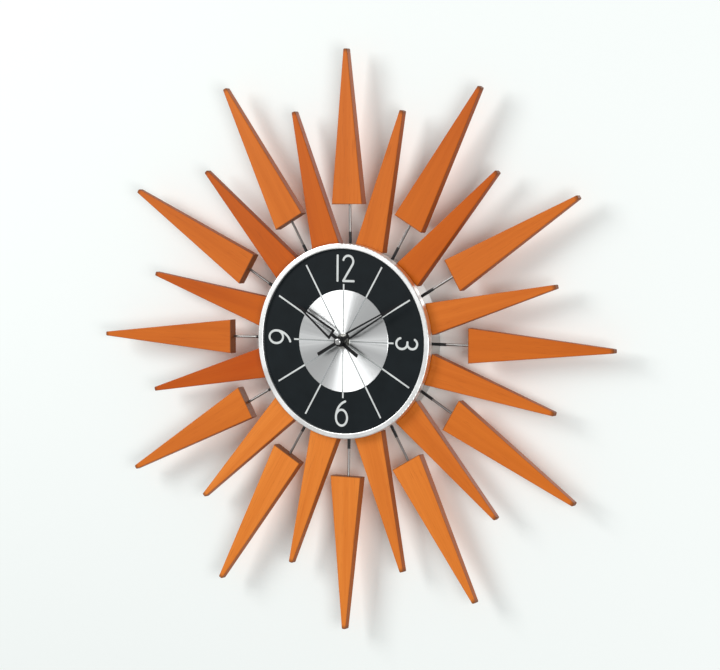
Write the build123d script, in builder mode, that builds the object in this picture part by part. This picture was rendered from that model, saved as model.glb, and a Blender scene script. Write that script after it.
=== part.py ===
from build123d import *
import math
import os

os.makedirs("parts", exist_ok=True)

# Sunburst wall clock, in millimetres.
# X is right and Z is up, seen from the front. The front faces -Y and the wall is the plane Y = 0.
# The origin is where the axis of the hands meets the wall.
# A height is a distance from the wall, and an angle is clockwise from 12, seen from the front.

# Rays and their rods
RAY_COUNT = 12                 # of each length
RAY_STEP = 360 / RAY_COUNT
LONG_TIP_RADIUS = 286
LONG_BASE_RADIUS = 134
SHORT_TIP_RADIUS = 233
SHORT_BASE_RADIUS = 94
RAY_TIP_WIDTH = 4
RAY_TAPER = 0.197              # width gained for each millimetre back from the tip
RAY_FRONT = 27                 # height of the flat front faces
RAY_BASE_THICKNESS = 10
RAY_TIP_THICKNESS = 7.5
RAY_EDGE = 0.8                 # rounding of the long edges
RAY_TIP_CHAMFER = 0.6
ROD_HEIGHT = 20
ROD_RADIUS = 1.25
ROD_SLACK = 0.03               # glue gap around a rod in its ray
LONG_ROD_DEPTH = 24            # how far a rod goes into its ray
SHORT_ROD_DEPTH = 18
ROD_INNER_END = 83
FERRULE_RADIUS = 1.5           # sleeve on a long rod, outside the case
FERRULE_END = 107
# Each ray leans a little on its thin rod, in degrees clockwise, from the 12 o'clock pair onwards
LONG_LEAN = (-1.2, 0, -0.4, -0.3, 0.8, 0, 0.3, 0.8, 0.9, -1.0, 0.5, 0)
SHORT_LEAN = (-0.6, -1.4, 0.3, 0.3, 0, -1.3, 1.0, 0.5, 0.9, 0, 0, -0.9)

# Case, dial and bezel
CASE_RADIUS = 90
CASE_WALL = 1.5
SHEET = 1.2                    # thickness of the dial, cover and bezel sheet
FLANGE_RADIUS = 94.4
REAR_LIP_RADIUS = 72
DIAL_FACE = 33
DIAL_BACK = DIAL_FACE - SHEET
BEZEL_RADIUS = 96
BEZEL_FRONT = 36
BEZEL_INNER_RADIUS = 90.6
DISC_RADIUS = 50.2
DISC_THICKNESS = 0.5
COVER_RADIUS = 82
COVER_SCREW_CIRCLE = 77
COVER_SCREW_RADIUS = 1.25
COVER_SCREW_ANGLES = (45, 135, 225, 315)
KEYHOLE_Z = 50
KEYHOLE_RADIUS = 4.5
KEYHOLE_SLOT_RADIUS = 2
KEYHOLE_SLOT_LENGTH = 9
ACCESS_HALF = 30               # half the side of the square opening over the movement

# Nuts
NUT_ACROSS = 5
NUT_THICKNESS = 2

# Hands
HOUR_ANGLE = 305
MINUTE_ANGLE = 60.2
HAND_SHEET = 0.5
HOUR_HAND_HEIGHT = 39.3
MINUTE_HAND_HEIGHT = 42

# Shafts on the axis of the hands
RUNNING_GAP = 0.06             # radial clearance of a shaft that turns
SECONDS_ARBOR_RADIUS = 0.4
CANNON_RADIUS = 1.5
HOUR_PIPE_RADIUS = 2.54
BUSHING_RADIUS = 3.9
BUSHING_FRONT = 38
CANNON_FRONT = 43.2
CANNON_BORE_END = 30           # end of the blind hole that the seconds arbor turns in
HOUR_PIPE_FRONT = 40.4

# Movement case
MOVEMENT_HALF = 28
MOVEMENT_BACK = 15
MOVEMENT_FRONT = 31
SHELL = 1.2
INNER_FRONT = MOVEMENT_FRONT - SHELL
INNER_BACK = MOVEMENT_BACK + SHELL
BAY_TOP = -12                  # top of the battery bay
BATTERY_RADIUS = 7.1
BATTERY_Z = -19.6
BATTERY_HEIGHT = 22.5
BRIDGE_BACK = 17
BRIDGE_THICKNESS = 0.8
PIVOT_RADIUS = 0.4
PIVOT_FRONT = 30.4
POSTS = ((-24.3, 24.3), (24.3, 24.3), (-24.3, -8.6), (24.3, -8.6))
POST_RADIUS = 2.2
BRIDGE_SCREW_RADIUS = 0.8
BRIDGE_SCREW_LENGTH = 8
BRIDGE_HEAD_RADIUS = 1.5
BRIDGE_HEAD_THICKNESS = 0.6
BRIDGE_CROSS = (0.4, 1.8, 0.4)  # depth, length and width of the slots in a screw's head
CORNER_RADIUS = 3
STUD_RADIUS = 0.7              # fixed stud that the motion wheel turns on

# Gears
MODULE = 0.3
ROTOR_PINION_LENGTH = 1.8
INTERMEDIATE_PINION_LENGTH = 1.9
SECONDS_PINION_LENGTH = 2.1
THIRD_PINION_LENGTH = 2.4
CANNON_PINION_LENGTH = 2.2
MOTION_PINION_LENGTH = 2.6
KNOB_PINION_LENGTH = 1.2
CENTRE = (0, 0)
CENTRE_TEETH = 64
THIRD_PINION_TEETH = 8
THIRD_TEETH = 60
SECONDS_PINION_TEETH = 8
SECONDS_TEETH = 60
INTERMEDIATE_PINION_TEETH = 10
INTERMEDIATE_TEETH = 40
ROTOR_TEETH = 8
CANNON_TEETH = 12
MOTION_TEETH = 36
MOTION_PINION_TEETH = 10
HOUR_TEETH = 40
KNOB_TEETH = 12
MOTION_MODULE = 0.35
THIRD_DIRECTION = 300          # clockwise from 12, out from the axis of the hands
INTERMEDIATE_DIRECTION = 20
ROTOR_DIRECTION = 50           # out from the intermediate wheel
MOTION_DIRECTION = 90
KNOB_DIRECTION = 120           # out from the motion wheel
WHEEL_THICKNESS = 0.8
# Heights of the wheels' backs, from the wall outwards
ROTOR_PINION_BACK = 18.2
INTERMEDIATE_BACK = 18.7
SECONDS_BACK = 20.2
THIRD_BACK = 21.9
CENTRE_BACK = 24
CANNON_PINION_BACK = 25.2
KNOB_PINION_BACK = 25.6
MOTION_BACK = 25.7
HOUR_BACK = 27.8


def out_from(place, direction, distance):
    """The point at a distance from a place, in a direction clockwise from 12."""
    turn = math.radians(direction)
    return (place[0] + distance * math.sin(turn), place[1] + distance * math.cos(turn))


def face_plane(height, place=CENTRE):
    """A plane parallel to the dial, seen from the front."""
    return Plane(origin=(place[0], -height, place[1]), x_dir=(1, 0, 0), z_dir=(0, -1, 0))


def radial_plane(angle, lean, height, distance):
    """A plane square to a rod: X is sideways, Y is away from the wall and Z runs out along the rod.

    The rod leans about the point where it leaves the case.
    """
    root = out_from(CENTRE, angle, CASE_RADIUS)
    place = out_from(root, angle + lean, distance - CASE_RADIUS)
    turn = math.radians(angle + lean)
    return Plane(
        origin=(place[0], -height, place[1]),
        x_dir=(-math.cos(turn), 0, math.sin(turn)),
        z_dir=(math.sin(turn), 0, math.cos(turn)),
    )


def add_round(place, start, end, radius, mode=Mode.ADD):
    """Adds or removes a round post between two heights, in the part being built."""
    with BuildSketch(face_plane(start, place)) as outline:
        Circle(radius)
    extrude(outline.sketch, amount=end - start, mode=mode)


# Gear geometry
TOOTH_ADDENDUM = 0.75          # in modules
TOOTH_DEDENDUM = 1.15
TIP_SHARE = 0.17               # width of a tooth at its tip, as a share of the pitch
PITCH_SHARE = 0.40
ROOT_SHARE = 0.58


def gear_outline(teeth, module, phase):
    """The corners of a gear's teeth, the first tooth centred on the phase, in radians clockwise from 12."""
    pitch_radius = teeth * module / 2
    steps = (
        (pitch_radius - TOOTH_DEDENDUM * module, -ROOT_SHARE / 2),
        (pitch_radius, -PITCH_SHARE / 2),
        (pitch_radius + TOOTH_ADDENDUM * module, -TIP_SHARE / 2),
        (pitch_radius + TOOTH_ADDENDUM * module, TIP_SHARE / 2),
        (pitch_radius, PITCH_SHARE / 2),
        (pitch_radius - TOOTH_DEDENDUM * module, ROOT_SHARE / 2),
    )
    corners = []
    for tooth in range(teeth):
        for radius, share in steps:
            angle = phase + (tooth + share) * 2 * math.pi / teeth
            corners.append((radius * math.sin(angle), radius * math.cos(angle)))
    return corners


def mesh_phase(direction, teeth, phase, mate_teeth):
    """The phase of a gear that lies in a direction from another, with a gap where the other has a tooth."""
    out = math.radians(direction)
    offset = (phase - out) / (2 * math.pi / teeth)
    return out + math.pi + (0.5 - offset) * 2 * math.pi / mate_teeth


def add_gear(place, start, thickness, teeth, module, phase):
    """Adds a toothed disc in front of a height, in the part being built."""
    with BuildSketch(face_plane(start, place)) as outline:
        with BuildLine():
            Polyline(*gear_outline(teeth, module, phase), close=True)
        make_face()
    extrude(outline.sketch, amount=thickness)


# Where the wheels stand
motion_place = out_from(CENTRE, MOTION_DIRECTION, (CANNON_TEETH + MOTION_TEETH) * MOTION_MODULE / 2)
knob_place = out_from(motion_place, KNOB_DIRECTION, (MOTION_TEETH + KNOB_TEETH) * MOTION_MODULE / 2)
hour_module = MOTION_MODULE * (CANNON_TEETH + MOTION_TEETH) / (MOTION_PINION_TEETH + HOUR_TEETH)
third_place = out_from(CENTRE, THIRD_DIRECTION, (SECONDS_PINION_TEETH + THIRD_TEETH) * MODULE / 2)
centre_module = MODULE * (SECONDS_PINION_TEETH + THIRD_TEETH) / (THIRD_PINION_TEETH + CENTRE_TEETH)
intermediate_distance = (SECONDS_TEETH + INTERMEDIATE_PINION_TEETH) * MODULE / 2
intermediate_place = out_from(CENTRE, INTERMEDIATE_DIRECTION, intermediate_distance)
rotor_distance = (INTERMEDIATE_TEETH + ROTOR_TEETH) * MODULE / 2
rotor_place = out_from(intermediate_place, ROTOR_DIRECTION, rotor_distance)

# How the teeth are turned so that every pair is in mesh
motion_phase = mesh_phase(MOTION_DIRECTION, CANNON_TEETH, 0, MOTION_TEETH)
knob_phase = mesh_phase(KNOB_DIRECTION, MOTION_TEETH, motion_phase, KNOB_TEETH)
hour_phase = mesh_phase(MOTION_DIRECTION + 180, MOTION_PINION_TEETH, 0, HOUR_TEETH)
third_pinion_phase = mesh_phase(THIRD_DIRECTION, CENTRE_TEETH, 0, THIRD_PINION_TEETH)
seconds_pinion_phase = mesh_phase(THIRD_DIRECTION + 180, THIRD_TEETH, 0, SECONDS_PINION_TEETH)
intermediate_pinion_phase = mesh_phase(
    INTERMEDIATE_DIRECTION, SECONDS_TEETH, 0, INTERMEDIATE_PINION_TEETH
)
rotor_phase = mesh_phase(ROTOR_DIRECTION, INTERMEDIATE_TEETH, 0, ROTOR_TEETH)


def cut_cross(place, front, depth, reach, width):
    """Cuts the cross slot of a screw that is driven from the wall's side, in the part being built."""
    with BuildSketch(face_plane(front, place)) as outline:
        Rectangle(reach, width)
        Rectangle(width, reach)
    extrude(outline.sketch, amount=depth, mode=Mode.SUBTRACT)


# Wooden rays: flat on the front, thinned from the back towards the tip


def make_ray(angle, lean, base_radius, tip_radius, rod_depth):
    """One tapered wooden blade with the blind hole for its rod."""
    base_width = RAY_TIP_WIDTH + RAY_TAPER * (tip_radius - base_radius)
    base_height = RAY_FRONT - RAY_BASE_THICKNESS / 2
    tip_height = RAY_FRONT - RAY_TIP_THICKNESS / 2
    tip_plane = radial_plane(angle, lean, tip_height, tip_radius)
    with BuildPart() as ray:
        with BuildSketch(radial_plane(angle, lean, base_height, base_radius)):
            Rectangle(base_width, RAY_BASE_THICKNESS)
        with BuildSketch(tip_plane):
            Rectangle(RAY_TIP_WIDTH, RAY_TIP_THICKNESS)
        loft(ruled=True)
        fillet(ray.edges().sort_by(SortBy.LENGTH)[-4:], RAY_EDGE)
        tip_face = ray.faces().sort_by_distance(tip_plane.origin)[0]
        chamfer(tip_face.edges(), RAY_TIP_CHAMFER)
        with BuildSketch(radial_plane(angle, lean, ROD_HEIGHT, base_radius)):
            Circle(ROD_RADIUS + ROD_SLACK)
        extrude(amount=rod_depth, mode=Mode.SUBTRACT)
    return ray


for index in range(RAY_COUNT):
    long_ray = make_ray(
        RAY_STEP * index, LONG_LEAN[index], LONG_BASE_RADIUS, LONG_TIP_RADIUS, LONG_ROD_DEPTH
    )
    long_ray.part.label = f"long_ray_{index + 1:02d}"
    export_step(long_ray.part, f"parts/long_ray_{index + 1:02d}.step")

    short_ray = make_ray(
        RAY_STEP * (index + 0.5), SHORT_LEAN[index], SHORT_BASE_RADIUS, SHORT_TIP_RADIUS, SHORT_ROD_DEPTH
    )
    short_ray.part.label = f"short_ray_{index + 1:02d}"
    export_step(short_ray.part, f"parts/short_ray_{index + 1:02d}.step")


# Steel rods, each from inside the case to inside its ray


def add_rods(first_angle, leans, outer_end):
    """Adds one ring of rods, in the part being built."""
    for index, lean in enumerate(leans):
        angle = first_angle + RAY_STEP * index
        with BuildSketch(radial_plane(angle, lean, ROD_HEIGHT, ROD_INNER_END)) as section:
            Circle(ROD_RADIUS)
        extrude(section.sketch, amount=outer_end - ROD_INNER_END)


with BuildPart() as ray_rods:
    add_rods(0, LONG_LEAN, LONG_BASE_RADIUS + LONG_ROD_DEPTH - 1)
    add_rods(RAY_STEP / 2, SHORT_LEAN, SHORT_BASE_RADIUS + SHORT_ROD_DEPTH - 1)
ray_rods.part.label = "ray_rods"
export_step(ray_rods.part, "parts/ray_rods.step")

# Black ferrules that stiffen the long rods where they leave the case
with BuildPart() as rod_ferrules:
    for index, lean in enumerate(LONG_LEAN):
        with BuildSketch(radial_plane(RAY_STEP * index, lean, ROD_HEIGHT, CASE_RADIUS + 0.1)) as section:
            Circle(FERRULE_RADIUS)
            Circle(ROD_RADIUS, mode=Mode.SUBTRACT)
        extrude(section.sketch, amount=FERRULE_END - CASE_RADIUS)
rod_ferrules.part.label = "rod_ferrules"
export_step(rod_ferrules.part, "parts/rod_ferrules.step")

# Case: a drum with a lip around its back and a flange around its front
with BuildPart() as case_drum:
    with BuildSketch(Plane.XY):
        with BuildLine():
            Polyline(
                (REAR_LIP_RADIUS, 0),
                (CASE_RADIUS, 0),
                (CASE_RADIUS, -DIAL_BACK + SHEET),
                (FLANGE_RADIUS, -DIAL_BACK + SHEET),
                (FLANGE_RADIUS, -DIAL_BACK),
                (CASE_RADIUS - CASE_WALL, -DIAL_BACK),
                (CASE_RADIUS - CASE_WALL, -CASE_WALL),
                (REAR_LIP_RADIUS, -CASE_WALL),
                close=True,
            )
        make_face()
    revolve(axis=Axis.Y)
    for first_angle, leans in ((0, LONG_LEAN), (RAY_STEP / 2, SHORT_LEAN)):
        for index, lean in enumerate(leans):
            angle = first_angle + RAY_STEP * index
            with BuildSketch(radial_plane(angle, lean, ROD_HEIGHT, CASE_RADIUS - 4)):
                Circle(ROD_RADIUS + 2 * ROD_SLACK)
            extrude(amount=8, mode=Mode.SUBTRACT)
    for angle in COVER_SCREW_ANGLES:
        place = out_from(CENTRE, angle, COVER_SCREW_CIRCLE)
        with Locations(Plane(origin=(place[0], 0, place[1]), z_dir=(0, 1, 0))):
            CounterSinkHole(COVER_SCREW_RADIUS + 0.1, COVER_SCREW_RADIUS * 1.9, depth=CASE_WALL)
case_drum.part.label = "case_drum"
export_step(case_drum.part, "parts/case_drum.step")

# Back cover, inside the rear lip, with the hanging keyhole and the opening over the movement
with BuildPart() as back_cover:
    with BuildSketch(face_plane(CASE_WALL)):
        Circle(COVER_RADIUS)
        Rectangle(2 * ACCESS_HALF, 2 * ACCESS_HALF, mode=Mode.SUBTRACT)
        with Locations((0, KEYHOLE_Z)):
            Circle(KEYHOLE_RADIUS, mode=Mode.SUBTRACT)
        with Locations((0, KEYHOLE_Z + KEYHOLE_SLOT_LENGTH / 2)):
            Rectangle(2 * KEYHOLE_SLOT_RADIUS, KEYHOLE_SLOT_LENGTH, mode=Mode.SUBTRACT)
        with Locations((0, KEYHOLE_Z + KEYHOLE_SLOT_LENGTH)):
            Circle(KEYHOLE_SLOT_RADIUS, mode=Mode.SUBTRACT)
        for angle in COVER_SCREW_ANGLES:
            with Locations(out_from(CENTRE, angle, COVER_SCREW_CIRCLE)):
                Circle(COVER_SCREW_RADIUS, mode=Mode.SUBTRACT)
    extrude(amount=SHEET)
back_cover.part.label = "back_cover"
export_step(back_cover.part, "parts/back_cover.step")

# Countersunk screws of the back cover
COVER_SCREW_BACK = 0.1
COVER_SCREW_END = 7
COVER_HEAD_DEPTH = 1.0
COVER_CROSS = (0.7, 2.4, 0.55)  # depth, length and width of the slots in a screw's head
with BuildPart() as cover_screws:
    for angle in COVER_SCREW_ANGLES:
        place = out_from(CENTRE, angle, COVER_SCREW_CIRCLE)
        with BuildSketch(face_plane(COVER_SCREW_BACK, place)):
            Circle(COVER_SCREW_RADIUS * 1.8)
        with BuildSketch(face_plane(COVER_SCREW_BACK + COVER_HEAD_DEPTH, place)):
            Circle(COVER_SCREW_RADIUS)
        loft()
        add_round(place, COVER_SCREW_BACK + COVER_HEAD_DEPTH, COVER_SCREW_END, COVER_SCREW_RADIUS)
        cut_cross(place, COVER_SCREW_BACK, *COVER_CROSS)
cover_screws.part.label = "cover_screws"
export_step(cover_screws.part, "parts/cover_screws.step")

# Identical nuts: on the rods, against the inside of the case's wall, and on the cover's screws
nut_start = CASE_RADIUS - CASE_WALL - 0.2 - NUT_THICKNESS
with BuildPart() as case_nuts:
    for first_angle, leans in ((0, LONG_LEAN), (RAY_STEP / 2, SHORT_LEAN)):
        for index, lean in enumerate(leans):
            angle = first_angle + RAY_STEP * index
            with BuildSketch(radial_plane(angle, lean, ROD_HEIGHT, nut_start)):
                RegularPolygon(NUT_ACROSS / 2, 6, major_radius=False)
                Circle(ROD_RADIUS, mode=Mode.SUBTRACT)
            extrude(amount=NUT_THICKNESS)
    for angle in COVER_SCREW_ANGLES:
        with BuildSketch(face_plane(CASE_WALL + SHEET, out_from(CENTRE, angle, COVER_SCREW_CIRCLE))):
            RegularPolygon(NUT_ACROSS / 2, 6, major_radius=False)
            Circle(COVER_SCREW_RADIUS, mode=Mode.SUBTRACT)
        extrude(amount=NUT_THICKNESS)
case_nuts.part.label = "case_nuts"
export_step(case_nuts.part, "parts/case_nuts.step")

# Dial: the black plate, the bright disc on its middle, and the bezel rolled over both rims
SHAFT_HOLE_RADIUS = BUSHING_RADIUS + 0.2
with BuildPart() as dial_plate:
    with BuildSketch(face_plane(DIAL_BACK)):
        Circle(FLANGE_RADIUS)
        Circle(SHAFT_HOLE_RADIUS, mode=Mode.SUBTRACT)
    extrude(amount=SHEET)
dial_plate.part.label = "dial_plate"
export_step(dial_plate.part, "parts/dial_plate.step")

with BuildPart() as centre_disc:
    with BuildSketch(face_plane(DIAL_FACE)):
        Circle(DISC_RADIUS)
        Circle(SHAFT_HOLE_RADIUS, mode=Mode.SUBTRACT)
    extrude(amount=DISC_THICKNESS)
    chamfer(centre_disc.edges().group_by(Axis.Y)[0].sort_by(SortBy.LENGTH)[-1], 0.25)
centre_disc.part.label = "centre_disc"
export_step(centre_disc.part, "parts/centre_disc.step")

BEZEL_SHEET = 1.0
BEZEL_BACK = DIAL_BACK - 2 * SHEET
BEZEL_ROUND = 0.9
with BuildPart() as bezel:
    with BuildSketch(Plane.XY):
        with BuildLine():
            Polyline(
                (BEZEL_RADIUS - 4, -BEZEL_BACK),
                (BEZEL_RADIUS, -BEZEL_BACK),
                (BEZEL_RADIUS, -BEZEL_FRONT),
                (BEZEL_INNER_RADIUS, -BEZEL_FRONT),
                (BEZEL_INNER_RADIUS, -DIAL_FACE),
                (BEZEL_INNER_RADIUS + BEZEL_SHEET, -DIAL_FACE),
                (BEZEL_INNER_RADIUS + BEZEL_SHEET, -BEZEL_FRONT + BEZEL_SHEET),
                (BEZEL_RADIUS - SHEET, -BEZEL_FRONT + BEZEL_SHEET),
                (BEZEL_RADIUS - SHEET, -BEZEL_BACK - SHEET),
                (BEZEL_RADIUS - 4, -BEZEL_BACK - SHEET),
                close=True,
            )
        make_face()
    revolve(axis=Axis.Y)
    front_edges = bezel.edges().filter_by(GeomType.CIRCLE).group_by(Axis.Y)[0]
    fillet(front_edges, BEZEL_ROUND)
bezel.part.label = "bezel"
export_step(bezel.part, "parts/bezel.step")

# What clamps the movement to the dial: gasket, threaded bushing, washer and nut
GASKET_RADIUS = 13
with BuildPart() as gasket:
    with BuildSketch(face_plane(MOVEMENT_FRONT)):
        Circle(GASKET_RADIUS)
        Circle(SHAFT_HOLE_RADIUS, mode=Mode.SUBTRACT)
    extrude(amount=DIAL_BACK - MOVEMENT_FRONT)
gasket.part.label = "gasket"
export_step(gasket.part, "parts/gasket.step")

BUSHING_FLANGE_RADIUS = 6
BUSHING_FLANGE_THICKNESS = 0.8
with BuildPart() as bushing:
    add_round(CENTRE, INNER_FRONT, BUSHING_FRONT, BUSHING_RADIUS)
    add_round(CENTRE, INNER_FRONT - BUSHING_FLANGE_THICKNESS, INNER_FRONT, BUSHING_FLANGE_RADIUS)
    add_round(CENTRE, INNER_FRONT - 2, BUSHING_FRONT + 1, HOUR_PIPE_RADIUS + RUNNING_GAP, Mode.SUBTRACT)
bushing.part.label = "bushing"
export_step(bushing.part, "parts/bushing.step")

WASHER_RADIUS = 7.5
WASHER_THICKNESS = 0.6
WASHER_BACK = DIAL_FACE + DISC_THICKNESS
with BuildPart() as shaft_washer:
    with BuildSketch(face_plane(WASHER_BACK)):
        Circle(WASHER_RADIUS)
        Circle(SHAFT_HOLE_RADIUS, mode=Mode.SUBTRACT)
    extrude(amount=WASHER_THICKNESS)
shaft_washer.part.label = "shaft_washer"
export_step(shaft_washer.part, "parts/shaft_washer.step")

SHAFT_NUT_ACROSS = 11
SHAFT_NUT_THICKNESS = 2.6
with BuildPart() as shaft_nut:
    with BuildSketch(face_plane(WASHER_BACK + WASHER_THICKNESS)):
        RegularPolygon(SHAFT_NUT_ACROSS / 2, 6, major_radius=False)
        Circle(BUSHING_RADIUS, mode=Mode.SUBTRACT)
    extrude(amount=SHAFT_NUT_THICKNESS)
shaft_nut.part.label = "shaft_nut"
export_step(shaft_nut.part, "parts/shaft_nut.step")

# Hands: a hub, an open triangle that narrows to the tip, and a tail
HAND_BASE = 11                 # from the axis to the wide end of the triangle
HAND_NECK = 3.2                # width of the bar between the hub and the triangle
HAND_POINT = 1.2               # width of the tip
HAND_SLOT_SHARE = 0.84         # where the slot closes, as a share of the tip's radius
HUB_REACH = 0.5                # how far a hub stands out from both faces of its hand


def hand_plane(angle, height):
    """A plane parallel to the dial whose Y runs along a hand, from the hub to the tip."""
    turn = math.radians(angle)
    return Plane(
        origin=(0, -height, 0), x_dir=(math.cos(turn), 0, -math.sin(turn)), z_dir=(0, -1, 0)
    )


def make_hand(angle, height, tip, base_width, rail, tail, tail_width, hub_radius, bore):
    """One hand cut from sheet, on a round hub that grips its pipe."""
    slot_end = tip * HAND_SLOT_SHARE
    slot_width = base_width - 2 * rail
    with BuildPart() as hand:
        with BuildSketch(hand_plane(angle, height)):
            Polygon(
                (-base_width / 2, HAND_BASE),
                (base_width / 2, HAND_BASE),
                (HAND_POINT / 2, tip),
                (-HAND_POINT / 2, tip),
                align=None,
            )
            Polygon(
                (-slot_width / 2, HAND_BASE + rail),
                (slot_width / 2, HAND_BASE + rail),
                (0, slot_end),
                align=None,
                mode=Mode.SUBTRACT,
            )
            Polygon(
                (-HAND_NECK / 2, 0),
                (HAND_NECK / 2, 0),
                (HAND_NECK / 2, HAND_BASE + rail / 2),
                (-HAND_NECK / 2, HAND_BASE + rail / 2),
                align=None,
            )
            Polygon(
                (-tail_width / 2, -tail),
                (tail_width / 2, -tail),
                (HAND_NECK / 2, 0),
                (-HAND_NECK / 2, 0),
                align=None,
            )
        extrude(amount=HAND_SHEET)
        add_round(CENTRE, height - HUB_REACH, height + HAND_SHEET + HUB_REACH, hub_radius)
        add_round(CENTRE, height - 3, height + 3, bore, Mode.SUBTRACT)
    return hand


hour_hand = make_hand(
    HOUR_ANGLE,
    HOUR_HAND_HEIGHT,
    tip=61,
    base_width=11.5,
    rail=2.4,
    tail=24,
    tail_width=3.6,
    hub_radius=5.2,
    bore=HOUR_PIPE_RADIUS,
)
hour_hand.part.label = "hour_hand"
export_step(hour_hand.part, "parts/hour_hand.step")

minute_hand = make_hand(
    MINUTE_ANGLE,
    MINUTE_HAND_HEIGHT,
    tip=80,
    base_width=7.8,
    rail=2.0,
    tail=27,
    tail_width=3.4,
    hub_radius=4.8,
    bore=CANNON_RADIUS,
)
minute_hand.part.label = "minute_hand"
export_step(minute_hand.part, "parts/minute_hand.step")

# Domed cap over the end of the shafts
CAP_RADIUS = 3.2
CAP_THICKNESS = 1.8
with BuildPart() as hand_cap:
    add_round(CENTRE, CANNON_FRONT, CANNON_FRONT + CAP_THICKNESS, CAP_RADIUS)
    add_round(CENTRE, MINUTE_HAND_HEIGHT + HAND_SHEET + HUB_REACH, CANNON_FRONT, CAP_RADIUS)
    add_round(CENTRE, MINUTE_HAND_HEIGHT, CANNON_FRONT, CANNON_RADIUS, Mode.SUBTRACT)
    fillet(hand_cap.edges().group_by(Axis.Y)[0], 1.2)
hand_cap.part.label = "hand_cap"
export_step(hand_cap.part, "parts/hand_cap.step")

# Movement front case: an open box with the battery bay's wall, pivot holes and posts
with BuildPart() as movement_case:
    with BuildSketch(face_plane(INNER_BACK)):
        RectangleRounded(2 * MOVEMENT_HALF, 2 * MOVEMENT_HALF, CORNER_RADIUS)
    extrude(amount=MOVEMENT_FRONT - INNER_BACK)
    inner_half = MOVEMENT_HALF - SHELL
    with BuildSketch(face_plane(INNER_BACK)):
        with Locations((0, (inner_half + BAY_TOP + SHELL) / 2)):
            Rectangle(2 * inner_half, inner_half - BAY_TOP - SHELL)
        with Locations((0, (BAY_TOP - inner_half) / 2)):
            Rectangle(2 * inner_half, BAY_TOP + inner_half)
    extrude(amount=INNER_FRONT - INNER_BACK, mode=Mode.SUBTRACT)
    for post in POSTS:
        add_round(post, BRIDGE_BACK + BRIDGE_THICKNESS, INNER_FRONT, POST_RADIUS)
        add_round(
            post,
            BRIDGE_BACK + BRIDGE_THICKNESS,
            BRIDGE_BACK + BRIDGE_SCREW_LENGTH + 0.5,
            BRIDGE_SCREW_RADIUS,
            Mode.SUBTRACT,
        )
    add_round(motion_place, MOTION_BACK - 0.5, INNER_FRONT, STUD_RADIUS)
    add_round(CENTRE, INNER_FRONT, MOVEMENT_FRONT, BUSHING_RADIUS, Mode.SUBTRACT)
    for place in (third_place, intermediate_place, rotor_place, knob_place):
        add_round(place, INNER_FRONT - 0.1, PIVOT_FRONT + 0.1, PIVOT_RADIUS + RUNNING_GAP, Mode.SUBTRACT)
movement_case.part.label = "movement_case"
export_step(movement_case.part, "parts/movement_case.step")

# Movement rear cover, open over the battery, with the hole for the setting knob
KNOB_STEM_RADIUS = 1.2
with BuildPart() as movement_cover:
    with BuildSketch(face_plane(MOVEMENT_BACK)):
        RectangleRounded(2 * MOVEMENT_HALF, 2 * MOVEMENT_HALF, CORNER_RADIUS)
        with Locations((0, BATTERY_Z)):
            Rectangle(2 * inner_half - 1, 2 * BATTERY_RADIUS - 1, mode=Mode.SUBTRACT)
        with Locations(knob_place):
            Circle(KNOB_STEM_RADIUS + RUNNING_GAP, mode=Mode.SUBTRACT)
    extrude(amount=SHELL)
movement_cover.part.label = "movement_cover"
export_step(movement_cover.part, "parts/movement_cover.step")

# Bridge that holds the rear pivots of the train, and its screws
with BuildPart() as train_bridge:
    with BuildSketch(face_plane(BRIDGE_BACK)):
        with Locations((0, (inner_half + BAY_TOP + SHELL) / 2)):
            Rectangle(2 * inner_half - 0.6, inner_half - BAY_TOP - SHELL - 0.6)
        for place in (CENTRE, third_place, intermediate_place, rotor_place):
            with Locations(place):
                Circle(PIVOT_RADIUS + RUNNING_GAP, mode=Mode.SUBTRACT)
        with Locations(knob_place):
            Circle(KNOB_STEM_RADIUS + 0.3, mode=Mode.SUBTRACT)
        for post in POSTS:
            with Locations(post):
                Circle(BRIDGE_SCREW_RADIUS, mode=Mode.SUBTRACT)
    extrude(amount=BRIDGE_THICKNESS)
train_bridge.part.label = "train_bridge"
export_step(train_bridge.part, "parts/train_bridge.step")

with BuildPart() as bridge_screws:
    for post in POSTS:
        add_round(post, BRIDGE_BACK, BRIDGE_BACK + BRIDGE_SCREW_LENGTH, BRIDGE_SCREW_RADIUS)
        add_round(post, BRIDGE_BACK - BRIDGE_HEAD_THICKNESS, BRIDGE_BACK, BRIDGE_HEAD_RADIUS)
        cut_cross(post, BRIDGE_BACK - BRIDGE_HEAD_THICKNESS, *BRIDGE_CROSS)
bridge_screws.part.label = "bridge_screws"
export_step(bridge_screws.part, "parts/bridge_screws.step")

# Stepping motor: stator plate, coil core, coil, and the rotor with its magnet
STATOR_BACK = 24.6
STATOR_THICKNESS = 1.0
STATOR_LEFT = -12
STATOR_RIGHT = 15.5
STATOR_BOTTOM = 11.3
STATOR_TOP = 24.4
STATOR_LEG = 4
STATOR_BAR = 7.4
COIL_Z = 22.4
MAGNET_RADIUS = 2.6
with BuildPart() as stator:
    with BuildSketch(face_plane(STATOR_BACK)):
        stator_middle = (STATOR_LEFT + STATOR_RIGHT) / 2
        stator_width = STATOR_RIGHT - STATOR_LEFT
        with Locations((stator_middle, STATOR_BOTTOM + STATOR_BAR / 2)):
            Rectangle(stator_width, STATOR_BAR)
        for side in (STATOR_LEFT + STATOR_LEG / 2, STATOR_RIGHT - STATOR_LEG / 2):
            with Locations((side, (STATOR_BOTTOM + STATOR_TOP) / 2)):
                Rectangle(STATOR_LEG, STATOR_TOP - STATOR_BOTTOM)
        with Locations(rotor_place):
            Circle(MAGNET_RADIUS + 0.4, mode=Mode.SUBTRACT)
    extrude(amount=STATOR_THICKNESS)
stator.part.label = "stator"
export_step(stator.part, "parts/stator.step")

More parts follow.
